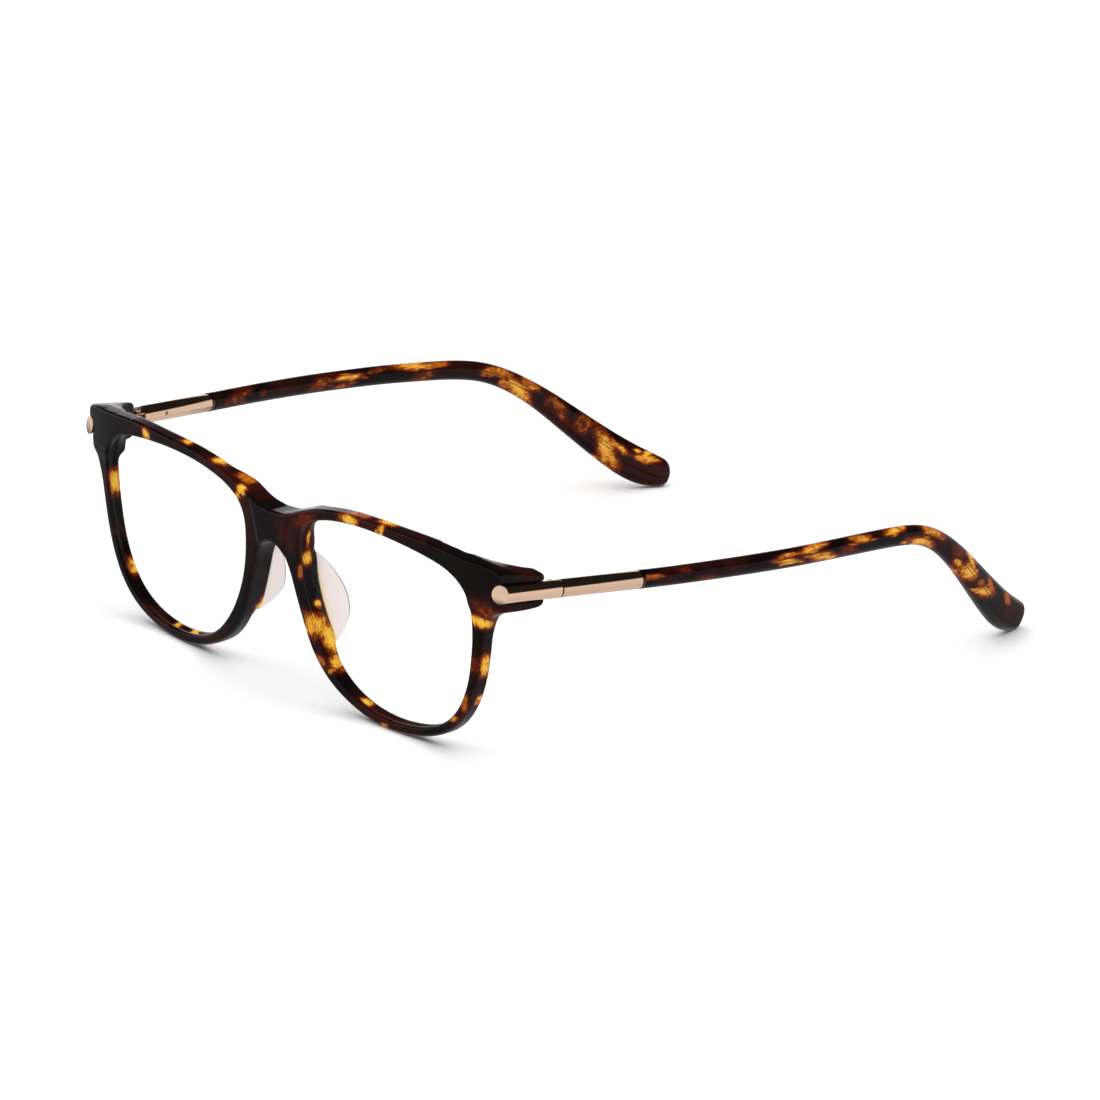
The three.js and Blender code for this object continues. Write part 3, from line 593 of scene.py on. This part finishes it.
# ---- tortoise pattern, stored on the points of each mesh ----
# Each spot: middle, half sizes, tone (1 amber, 0.5 orange, 0 red), mm in the finished frame.
FRONT_SPOTS = [
    ((-43.2, -68.3, 40.6), (1.3, 1.1, 0.9), 1.0), ((-30.4, -67.6, 42.2), (1.5, 1.1, 0.8), 0.9),
    ((-19.1, -68.2, 41.5), (1.5, 1.3, 0.8), 0.9), ((-11.6, -67.2, 39.3), (1.7, 1.6, 1.0), 0.7),
    ((-9.6, -70.0, 38.2), (1.2, 0.9, 1.0), 1.0), ((-10.8, -70.2, 36.6), (0.8, 0.8, 0.9), 0.9),
    ((-60.3, -64.2, 25.6), (1.0, 1.1, 2.3), 1.0), ((-55.3, -63.2, 9.6), (1.3, 1.1, 1.5), 0.8),
    ((-37.6, -65.1, 2.1), (1.0, 0.9, 0.7), 0.8), ((-31.3, -65.6, 2.3), (1.7, 1.0, 0.6), 0.8),
    ((-9.3, -63.8, 21.2), (0.8, 0.9, 1.1), 1.0), ((-11.0, -64.7, 12.8), (1.2, 1.2, 1.6), 0.9),
    ((11.5, -70.2, 37.3), (1.8, 0.9, 1.6), 0.0), ((8.8, -67.4, 28.3), (0.6, 0.9, 1.6), 1.0),
    ((9.1, -67.4, 32.6), (0.5, 0.4, 2.0), 0.8), ((9.0, -69.2, 26.0), (0.5, 0.4, 1.2), 0.6),
    ((10.5, -66.3, 19.2), (0.9, 0.8, 0.9), 1.0), ((11.8, -67.6, 15.4), (1.5, 2.2, 2.2), 1.0),
    ((13.9, -65.8, 12.9), (1.6, 1.8, 2.4), 1.0), ((17.1, -66.8, 8.9), (1.9, 1.6, 1.4), 1.0),
    ((14.9, -68.4, 9.2), (1.2, 0.8, 0.9), 0.5), ((26.1, -66.2, 3.3), (1.9, 0.8, 0.8), 1.0),
    ((33.5, -67.3, 0.6), (0.9, 1.0, 0.5), 0.8), ((25.7, -69.9, 40.9), (2.6, 0.8, 1.0), 1.0),
    ((26.6, -68.0, 42.2), (3.6, 1.3, 0.7), 0.4), ((34.9, -67.0, 42.2), (2.5, 1.2, 0.7), 0.9),
    ((35.3, -69.0, 41.0), (0.9, 0.8, 1.1), 0.8), ((62.9, -65.6, 28.9), (2.6, 1.8, 1.2), 1.0),
    ((64.6, -64.9, 31.0), (2.6, 1.8, 1.5), 0.1), ((61.9, -63.8, 19.5), (0.8, 1.0, 2.2), 0.9),
    ((60.6, -65.5, 19.6), (1.2, 0.9, 1.3), 0.1), ((59.0, -63.3, 11.8), (0.7, 0.8, 1.2), 0.7),
    ((57.5, -65.6, 11.2), (0.7, 0.6, 1.6), 0.4), ((53.9, -65.8, 7.0), (0.9, 0.8, 0.6), 0.6),
    ((-50.5, -63.9, 40.8), (2.6, 1.0, 1.2), 0.8), ((45.0, -63.6, 41.2), (2.2, 1.0, 1.0), 0.9),
    ((60.6, -61.4, 24.0), (1.6, 0.8, 2.6), 0.9), ((-59.0, -61.6, 16.0), (1.6, 0.8, 2.4), 0.9),
    ((-20.0, -64.4, 4.0), (2.6, 0.8, 1.4), 0.7), ((3.0, -65.0, 34.0), (2.0, 0.8, 1.6), 0.2),
    ((-7.6, -63.9, 22.4), (0.8, 0.9, 1.0), 0.9), ((-10.6, -64.2, 14.0), (1.1, 1.0, 1.4), 0.9),
]
# On the arms: mm along, mm across, half length, half height, tone.
ARM_SPOTS = {
    "left": [
        (1.2, 0.7, 2.4, 0.4, 0.5), (8.9, 1.2, 1.0, 0.4, 0.1), (14.3, -1.0, 1.5, 0.6, 0.0),
        (33.0, 1.0, 2.2, 0.35, 0.7), (33.6, -0.2, 2.5, 0.6, 1.0), (40.0, 1.5, 2.6, 0.6, 0.8),
        (41.5, -0.4, 3.2, 0.85, 1.0), (48.5, -0.2, 1.8, 0.7, 0.1), (52.4, 1.2, 2.4, 0.6, 0.8),
        (61.6, 1.6, 2.4, 0.5, 0.9), (68.5, -0.9, 3.2, 0.9, 1.0), (72.0, 1.3, 2.6, 0.9, 0.6),
        (80.5, 0.6, 1.6, 1.1, 0.1), (85.5, -0.7, 2.9, 1.5, 1.0), (84.4, 2.0, 1.7, 0.6, 0.8),
        (94.0, -0.7, 2.0, 1.5, 1.0), (94.4, 1.5, 1.4, 0.6, 0.5), (102.8, 2.2, 1.6, 0.8, 0.5),
    ],
    "right": [
        (6.0, 0.4, 2.0, 1.0, 0.2), (12.8, 0.2, 0.7, 0.5, 0.1), (27.2, 0.2, 2.0, 1.1, 0.3),
        (34.4, 0.8, 3.0, 0.5, 0.8), (33.2, -0.7, 1.6, 0.5, 0.4), (40.8, 1.3, 1.7, 0.4, 0.2),
        (49.5, 1.5, 3.6, 0.6, 1.0), (55.5, 1.5, 2.0, 0.5, 0.5), (52.2, -0.6, 1.9, 0.9, 0.2),
        (69.5, 0.9, 2.8, 1.0, 0.6), (75.0, -0.9, 3.2, 1.5, 1.0), (77.5, 1.4, 2.4, 0.8, 0.4),
        (86.0, 0.4, 2.2, 1.5, 0.2), (92.5, 0.8, 1.8, 1.7, 0.3), (99.3, -0.5, 2.6, 2.4, 1.0),
        (102.0, 1.2, 2.2, 0.6, 0.8), (108.2, 1.9, 1.9, 1.0, 0.9),
    ],
}


def store(mesh, name, values):
    attribute = mesh.attributes.new(name, "FLOAT", "POINT")
    attribute.data.foreach_set("value", np.asarray(values, np.float32))


def with_crumbs(spots, random):
    """Each spot with two or three smaller ones broken off its sides."""
    out = []
    for middle, half, tone in spots:
        middle, half = np.array(middle), np.array(half)
        out.append((middle, half, tone, random.uniform(-0.9, 0.9)))
        for _ in range(random.integers(2, 4) if tone > 0.3 else 1):
            offset = random.normal(size=len(half))
            offset *= random.uniform(0.95, 1.45) / np.linalg.norm(offset)
            size = half * random.uniform(0.22, 0.5, len(half))
            darker = max(0.0, tone - random.uniform(0.0, 0.5))
            out.append((middle + offset * half, size, darker, random.uniform(-1, 1)))
    return out


def spot_values(points, spots):
    """For each point: how near a spot it lies (1 in its middle, 0 at its edge), and that spot's tone."""
    near = np.full(len(points), -3.0)
    tone = np.zeros(len(points))
    for middle, half, spot_tone, skew in spots:
        local = (points - middle) / half
        local[:, 0] += skew * local[:, -1]
        value = 1 - (np.abs(local) ** 3.2).sum(axis=1) ** (1 / 3.2)
        better = value > near
        near[better], tone[better] = value[better], spot_tone
    return near, tone


co = np.array([v.co for v in front.data.vertices]) * 1000
random = np.random.default_rng(7)
near, tone = spot_values(co, with_crumbs(FRONT_SPOTS, random))
store(front.data, "spot", near)
store(front.data, "tone", tone)
for name, arm in arms.items():
    flat = np.column_stack([along, across])
    spots = [((s, h), (a, b), t) for s, h, a, b, t in ARM_SPOTS[name]]
    near, tone = spot_values(flat, with_crumbs(spots, random))
    store(arm.data, "spot", near)
    store(arm.data, "tone", tone)
    store(arm.data, "height", across)

# ---- nose pads ----
PAD_GAP, PAD_DEPTH, PAD_ROOT_THICKNESS = 0.2, 5.4, 2.0
# The pad's root runs outwards as it goes down from PAD_TOP, and its rim less so.
PAD_TOP, ROOT_AT_TOP, ROOT_LEAN = 27.2, 6.5, 0.4
RIM_AT_FLOOR, RIM_LEAN = 13.9, 0.19
# The pad's rear edge from bottom to top, [height, depth behind its root].
PAD_PROFILE = [
    (11.5, 0.0), (11.8, 0.9), (12.6, 2.3), (13.8, 3.8), (15.3, 5.0), (17.0, 5.4), (19.5, 5.3),
    (22.0, 4.6), (25.0, 3.2), (27.2, 1.9), (28.5, 0.7), (28.8, 0.0),
]


def pad_mesh(rows=64, around=32):
    """A fin bonded to the rear of the nose side: broad at its root, thin and rounded at its rim."""
    low, high = PAD_PROFILE[0][0], PAD_PROFILE[-1][0]
    smooth = catmull(PAD_PROFILE, False, 12)
    middle, half = (low + high) / 2, (high - low) / 2
    points, rim_share, root_distance = [], [], []
    for share in np.linspace(0, 1, rows):
        w = middle - half * math.cos(math.pi * share)
        reach = 0.3 + np.interp(w, smooth[:, 0], smooth[:, 1])
        thick = PAD_ROOT_THICKNESS / 2 * (0.3 + 0.7 * min(1.0, reach / 2.5) ** 0.5)
        root, rim = ROOT_AT_TOP + ROOT_LEAN * (PAD_TOP - w), RIM_AT_FLOOR - RIM_LEAN * w
        for k in range(around):
            a = 2 * math.pi * k / around
            out = 0.5 + 0.5 * np.sign(math.sin(a)) * abs(math.sin(a)) ** 0.7
            across = thick * np.sign(math.cos(a)) * abs(math.cos(a)) ** 0.7 * (1 - 0.45 * out)
            depth = NOSE_BLOCK_BACK + PAD_GAP - 0.15 + reach * out
            points.append(bent(root + (rim - root) * reach * out / PAD_DEPTH + across, depth, w))
            rim_share.append(out)
            root_distance.append(reach * out)
    return np.array(points, float), ring_faces(rows, around), rim_share, root_distance


pads = []
for name, side in SIDES.items():
    points, faces, rim_share, root_distance = pad_mesh()
    points, faces = mirrored(points, faces, side)
    pad = make_piece(f"pad_{name}", place(points), faces, 60)
    store(pad.data, "rim", rim_share)
    store(pad.data, "root", root_distance)
    faced_outwards(pad)
    declare(pad, "front", [f"nose_pad_{name}"])
    pads.append(pad)


# ---- rods, sleeves and collars ----
def solid_piece(name, solid):
    """A piece from (points, faces) in the rod's own millimetres."""
    return faced_outwards(make_piece(name, *solid))


def build_rod(name, side):
    profile = [(0, -2.0), (ROD_RADIUS, -2.0), (ROD_RADIUS, ROD_LENGTH), (0, ROD_LENGTH)]
    rod = solid_piece(f"rod_{name}", lathed(profile))
    bm = bmesh.new()
    bm.from_mesh(rod.data)
    normal = ROD_AXES @ ROD_HEAD_NORMAL
    everything = bm.verts[:] + bm.edges[:] + bm.faces[:]
    cut = bmesh.ops.bisect_plane(
        bm, geom=everything, plane_co=(0, 0, 0), plane_no=tuple(normal), clear_outer=True)
    edges = [e for e in cut["geom_cut"] if isinstance(e, bmesh.types.BMEdge)]
    bmesh.ops.contextual_create(bm, geom=edges)
    bmesh.ops.recalc_face_normals(bm, faces=bm.faces)
    bm.to_mesh(rod.data)
    bm.free()
    fork_start = PIN_AT - KNUCKLE_RADIUS - 0.1
    fork = box_solid((-4, fork_start, -FORK_HALF_GAP), (0.5, ROD_LENGTH + 1, FORK_HALF_GAP))
    pin_hole = cylinder_solid(PIN_HOLE, [PIN_INSET, PIN_AT, 0], 2, -3, 3)
    head_hole = cylinder_solid(PIN_HEAD_HOLE, [PIN_INSET, PIN_AT, 0], 2, PIN_HEAD_FROM, 3)
    cut_by(rod, [solid_piece("cutter", solid) for solid in (fork, pin_hole, head_hole)])
    bevel(rod, ROD_BEVEL)
    finish_piece(rod, side, "front", [f"end_rod_{name}"])
    return rod


def build_sleeve(name, side):
    edge, soft = 0.08, 0.024
    profile = [
        (SLEEVE_BORE, SLEEVE_START), (ROD_RADIUS - edge, SLEEVE_START),
        (ROD_RADIUS - soft, SLEEVE_START + soft), (ROD_RADIUS, SLEEVE_START + edge),
        (ROD_RADIUS, SLEEVE_END - edge), (ROD_RADIUS - soft, SLEEVE_END - soft),
        (ROD_RADIUS - edge, SLEEVE_END), (SLEEVE_BORE, SLEEVE_END),
    ]
    sleeve = solid_piece(f"sleeve_{name}", lathed(profile))
    hole = cylinder_solid(SEAT_SCREW_HOLE, [0, SEAT_SCREW_AT, 0], 0, -3, 0)
    cut_by(sleeve, [solid_piece("cutter", hole)])
    finish_piece(sleeve, side, f"temple_{name}", [f"temple_sleeve_{name}"])
    return sleeve


def build_collar(name, side):
    low, high = COLLAR_SPAN
    edge = 0.1
    profile = [
        (COLLAR_BORE, low), (COLLAR_RADIUS - edge, low), (COLLAR_RADIUS, low + edge),
        (COLLAR_RADIUS, high - edge), (COLLAR_RADIUS - 0.08, high), (COLLAR_BORE, high),
    ]
    collar = solid_piece(f"collar_{name}", lathed(profile))
    finish_piece(collar, side, f"temple_{name}", [f"temple_collar_{name}"])
    return collar


def build_spring(name, side, rings=193, around=10):
    """The coil inside the sleeve, built at its rest length and carried with the carriage; nothing here shortens it
    towards its nut as the temple is pulled back.
    """
    start, end = SPRING_SPAN
    angle = np.linspace(0, 2 * np.pi * SPRING_TURNS, rings)
    spread = SPRING_RADIUS * np.cos(angle), SPRING_RADIUS * np.sin(angle)
    middle = np.column_stack([spread[0], np.linspace(start, end, rings), spread[1]])
    along = np.gradient(middle, axis=0)
    along /= np.linalg.norm(along, axis=1)[:, None]
    outwards = np.column_stack([np.cos(angle), np.zeros(rings), np.sin(angle)])
    across = np.cross(along, outwards)
    turn = 2 * np.pi * np.arange(around) / around
    wire = outwards[:, None] * np.cos(turn)[:, None] + across[:, None] * np.sin(turn)[:, None]
    points = (middle[:, None] + SPRING_WIRE * wire).reshape(-1, 3)
    spring = solid_piece(f"spring_{name}", (points, ring_faces(rings, around)))
    finish_piece(spring, side, f"carriage_{name}", [f"flex_spring_{name}"])
    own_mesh(spring)
    return spring


rods = [build_rod(name, side) for name, side in SIDES.items()]
springs = [build_spring(name, side) for name, side in SIDES.items()]
sleeves = [build_sleeve(name, side) for name, side in SIDES.items()]
collars = [build_collar(name, side) for name, side in SIDES.items()]


# ---- materials ----
class Nodes:
    """Short words for building the node tree of a material or a world."""

    def __init__(self, owner, shader="Principled BSDF", coordinates="Object"):
        owner.use_nodes = True
        self.owner = owner
        self.tree = owner.node_tree
        self.shader = self.tree.nodes[shader]
        self.position = self.add("ShaderNodeTexCoord").outputs[coordinates]

    def add(self, kind, **settings):
        node = self.tree.nodes.new(kind)
        for key, value in settings.items():
            setattr(node, key, value)
        return node

    def link(self, value, socket):
        if isinstance(value, bpy.types.NodeSocket):
            self.tree.links.new(value, socket)
        else:
            socket.default_value = value

    def noise(self, scale, detail=2.0, stretch=None, distortion=0.0):
        vector = self.position
        if stretch is not None:
            mapping = self.add("ShaderNodeMapping")
            self.link(vector, mapping.inputs["Vector"])
            mapping.inputs["Scale"].default_value = stretch
            vector = mapping.outputs["Vector"]
        node = self.add("ShaderNodeTexNoise")
        self.link(vector, node.inputs["Vector"])
        node.inputs["Scale"].default_value = scale
        node.inputs["Detail"].default_value = detail
        node.inputs["Distortion"].default_value = distortion
        return node.outputs["Fac"]

    def math(self, operation, a, b=0.0, c=0.0):
        node = self.add("ShaderNodeMath", operation=operation)
        for socket, value in zip(node.inputs, (a, b, c)):
            self.link(value, socket)
        return node.outputs[0]

    def ramp(self, value, low, high, to_low=0.0, to_high=1.0):
        node = self.add("ShaderNodeMapRange", interpolation_type="SMOOTHSTEP")
        for socket, item in zip(node.inputs, (value, low, high, to_low, to_high)):
            self.link(item, socket)
        return node.outputs[0]

    def mix(self, factor, a, b):
        node = self.add("ShaderNodeMix", data_type="RGBA")
        self.link(factor, node.inputs["Factor"])
        for key, colour in (("A", a), ("B", b)):
            socket = [s for s in node.inputs if s.name == key and s.type == "RGBA"][0]
            self.link((*colour, 1.0) if isinstance(colour, tuple) else colour, socket)
        return [s for s in node.outputs if s.type == "RGBA"][0]

    def attribute(self, name):
        return self.add("ShaderNodeAttribute", attribute_name=name).outputs["Fac"]

    def bump(self, height, strength, distance):
        node = self.add("ShaderNodeBump")
        node.inputs["Strength"].default_value = strength
        node.inputs["Distance"].default_value = distance
        self.link(height, node.inputs["Height"])
        self.link(node.outputs["Normal"], self.shader.inputs["Normal"])

    def set(self, **values):
        for key, value in values.items():
            self.link(value, self.shader.inputs[key.replace("_", " ")])


def tortoise(streak, gold, cored=False):
    """Near-black brown acetate with wine-red clouds and ragged amber flakes, streaked one way; the flakes carry a
    faint painted glow.

    gold holds the flakes' dark, light and middle colours. A cored one also shows its wire's edges.
    """
    n = Nodes(bpy.data.materials.new("tortoise_acetate"))
    ragged = n.noise(300, 2.0, distortion=0.3)
    torn = n.noise(900, 3.0, distortion=1.2)
    streaks = n.noise(1.0, 3.0, stretch=streak)
    near = n.attribute("spot")
    for wave, amount in ((ragged, 1.3), (torn, 0.25), (streaks, 0.8)):
        near = n.math("MULTIPLY_ADD", n.math("SUBTRACT", wave, 0.5), amount, near)
    tone = n.math("MULTIPLY_ADD", n.math("SUBTRACT", n.noise(620, 3.0), 0.5), 1.3, n.attribute("tone"))
    clouds = n.noise(95, 3.0, distortion=0.4)
    base = n.mix(n.ramp(clouds, 0.46, 0.72), (0.0042, 0.0026, 0.0026), (0.030, 0.0052, 0.0040))
    halo = n.ramp(near, -1.05, -0.05)
    edge_colour = n.mix(n.ramp(tone, 0.25, 0.65), (0.045, 0.0052, 0.0026), (0.165, 0.025, 0.004))
    halo_colour = n.mix(n.ramp(near, -0.45, 0.0), (0.040, 0.0050, 0.0028), edge_colour)
    colour = n.mix(n.math("MULTIPLY", halo, 0.95), base, halo_colour)
    red = n.mix(streaks, (0.045, 0.005, 0.002), (0.12, 0.014, 0.003))
    orange = n.mix(streaks, (0.22, 0.042, 0.004), (0.44, 0.115, 0.010))
    grain = n.ramp(streaks, 0.32, 0.62)
    amber = n.mix(grain, *gold[:2])
    amber = n.mix(n.ramp(near, 0.15, 0.80), amber, gold[2])
    amber = n.mix(n.ramp(near, -0.05, 0.32), (0.30, 0.058, 0.004), amber)
    lit = n.mix(n.ramp(tone, 0.15, 0.5), red, orange)
    lit = n.mix(n.ramp(tone, 0.55, 0.9), lit, amber)
    if cored:
        off = n.math("ABSOLUTE", n.math("SUBTRACT", n.attribute("height"), 0.15))
        side = n.math("ABSOLUTE", n.math("SUBTRACT", off, 0.34))
        lit = n.mix(n.ramp(side, 0.07, 0.14, 0.75, 0.0), lit, (0.05, 0.016, 0.004))
    inside = n.ramp(near, -0.14, 0.24)
    colour = n.mix(inside, colour, lit)
    # Painted light: the flakes glow faintly through emission, standing in for light shining through the amber.
    n.set(Base_Color=colour, Emission_Color=n.mix(inside, (0.0, 0.0, 0.0), colour), Emission_Strength=0.06)
    rub = n.noise(60, 4.0)
    n.set(Roughness=n.ramp(rub, 0.3, 0.8, 0.07, 0.15), IOR=1.49, Specular_IOR_Level=0.10)
    n.bump(n.noise(130, 1.0), 0.10, 0.00005)
    return n.owner


def metal(name, low, high, roughness, grain):
    """Polished metal with faint turning marks, and a slightly worn tint towards its edges."""
    n = Nodes(bpy.data.materials.new(name))
    marks = n.noise(1.0, 3.0, stretch=grain)
    blotch = n.noise(240, 3.0)
    worn = n.add("ShaderNodeNewGeometry").outputs["Pointiness"]
    colour = n.mix(blotch, low, high)
    colour = n.mix(n.ramp(worn, 0.52, 0.62, 0.0, 0.35), colour, tuple(min(1.0, c * 1.15) for c in high))
    n.set(Base_Color=colour, Metallic=1.0)
    n.set(Roughness=n.ramp(marks, 0.3, 0.7, roughness * 0.8, roughness * 1.25))
    n.bump(marks, 0.05, 0.00002)
    return n.owner


def pad_acetate():
    """Milky clear acetate, amber where it meets the nose side, with a thin dark line along its rim; it carries a
    faint painted glow.
    """
    n = Nodes(bpy.data.materials.new("pad_acetate"))
    clouds = n.noise(160, 2.0)
    ragged = n.math("MULTIPLY_ADD", n.math("SUBTRACT", n.noise(420, 3.0), 0.5), 1.2, n.attribute("root"))
    milky = n.mix(clouds, (0.74, 0.66, 0.645), (0.82, 0.745, 0.725))
    colour = n.mix(n.ramp(ragged, 0.35, 0.85), (0.86, 0.70, 0.47), milky)
    colour = n.mix(n.ramp(n.attribute("rim"), 0.90, 0.97), colour, (0.12, 0.085, 0.08))
    # Painted light: the pad glows faintly through emission, standing in for light passing through the milky
    # acetate.
    n.set(Base_Color=colour, Emission_Color=colour, Emission_Strength=0.15)
    n.set(Roughness=n.ramp(n.noise(90, 3.0), 0.3, 0.7, 0.12, 0.2), IOR=1.49, Specular_IOR_Level=0.3)
    n.bump(n.noise(150, 1.0), 0.1, 0.00005)
    return n.owner


LENGTHWISE = (2600.0, 320.0, 2600.0)
UPRIGHT = (2600.0, 2600.0, 420.0)
TURNED = (900.0, 7000.0, 900.0)
DRAWN = (900.0, 9000.0, 900.0)
SHADES = {
    "rose_gold": metal("rose_gold", (0.66, 0.445, 0.32), (0.715, 0.49, 0.36), 0.07, TURNED),
    "hinge_gold": metal("hinge_gold", (0.42, 0.26, 0.15), (0.55, 0.36, 0.22), 0.16, TURNED),
    "steel": metal("steel", (0.50, 0.50, 0.49), (0.62, 0.62, 0.60), 0.22, DRAWN),
    "dark_metal": metal("dark_metal", (0.045, 0.032, 0.026), (0.09, 0.065, 0.05), 0.30, TURNED),
    "pad_acetate": pad_acetate(),
}
FRONT_GOLD = [(0.44, 0.14, 0.008), (0.72, 0.35, 0.028), (0.80, 0.46, 0.055)]
ARM_GOLD = [(0.34, 0.080, 0.005), (0.62, 0.25, 0.020), (0.76, 0.39, 0.055)]
front_shade = tortoise(UPRIGHT, FRONT_GOLD)
arm_shade = tortoise(LENGTHWISE, ARM_GOLD, cored=True)


def clothe(piece, material):
    piece.data.materials.clear()
    piece.data.materials.append(material)


clothe(front, front_shade)
for arm in arms.values():
    clothe(arm, arm_shade)
for pad in pads:
    clothe(pad, SHADES["pad_acetate"])
for piece in rods + sleeves:
    clothe(piece, SHADES["rose_gold"])
for collar in collars:
    clothe(collar, SHADES["dark_metal"])
for spring in springs:
    clothe(spring, SHADES["steel"])
slots = {s["node"]: s["material_slot"] for s in frame["record"]["subparts"]}
for name, node in frame["nodes"].items():
    shade = "hinge_gold" if name.startswith(("hinge_", "seat_screw")) else slots[name]
    if shade in SHADES:
        for k in range(len(node.material_slots)):
            node.material_slots[k].material = SHADES[shade]

# ---- floor and light ----
bpy.ops.mesh.primitive_plane_add(size=9.0, location=(0, 0, -0.00002))
floor = bpy.context.object
floor.name = "floor"
f = Nodes(bpy.data.materials.new("floor_white"))
white = f.mix(f.noise(3.0), (0.90, 0.90, 0.90), (0.92, 0.92, 0.92))
f.set(Base_Color=white, Roughness=0.6, Specular_IOR_Level=0.0)
clothe(floor, f.owner)
floor.visible_glossy = False


def height_at(degrees):
    """Height of a direction so many degrees above the horizon."""
    return math.sin(math.radians(degrees))


# White all round up to 13.5 degrees, and nearly black overhead. Below the horizon only reflections
# see the world: it stands in for the floor there, dim, with a white card behind the frame's left
# side and another right below.
CARD = Vector((0.80, 0.60, 0.0))
w = Nodes(bpy.data.worlds.new("studio"), "Background", "Generated")
split = w.add("ShaderNodeSeparateXYZ")
w.link(w.position, split.inputs[0])
height = split.outputs["Z"]
toward_card = w.add("ShaderNodeVectorMath", operation="DOT_PRODUCT")
w.link(w.position, toward_card.inputs[0])
w.link(CARD, toward_card.inputs[1])
behind_left = w.ramp(toward_card.outputs["Value"], 0.50, 0.78, 0.35, 0.95)
right_below = w.ramp(height, height_at(-50), height_at(-30), 0.9, 0.0)
cards = w.math("MAXIMUM", behind_left, right_below)
below = w.ramp(height, height_at(-16), height_at(-8), cards, 1.0)
above = w.ramp(height, height_at(13.5), height_at(21), 1.0, 0.02)
w.set(Color=(1, 1, 1, 1), Strength=w.math("MULTIPLY", above, below))
scene = bpy.context.scene
scene.world = w.owner

sun_data = bpy.data.lights.new("overhead", "SUN")
sun_data.energy = 3.8
sun_data.angle = math.radians(104)
sun = bpy.data.objects.new("overhead", sun_data)
sun.visible_glossy = False
scene.collection.objects.link(sun)

# ---- camera ----
AZIMUTH, ELEVATION = math.radians(53.162), math.radians(17.894)
DISTANCE, SENSOR_WIDTH, FOCAL_LENGTH = 3.4864, 36, 579.649
AIM_AT, AIM_RIGHT, AIM_UP = [0, 61.8, 20.6], 0.003376, -0.004472
level = math.cos(ELEVATION)
back = Vector((math.sin(AZIMUTH) * level, -math.cos(AZIMUTH) * level, math.sin(ELEVATION)))
right = Vector((math.cos(AZIMUTH), math.sin(AZIMUTH), 0))
up = back.cross(right)
aim = Vector(place(AIM_AT)) + right * AIM_RIGHT + up * AIM_UP
data = bpy.data.cameras.new("camera")
data.sensor_width = SENSOR_WIDTH
data.lens = FOCAL_LENGTH
data.clip_start, data.clip_end = 0.1, 100
camera = bpy.data.objects.new("camera", data)
turn = Matrix((right, up, back)).transposed().to_4x4()
camera.matrix_world = Matrix.Translation(aim + back * DISTANCE) @ turn
scene.collection.objects.link(camera)
scene.camera = camera
scene.view_settings.view_transform = "Standard"
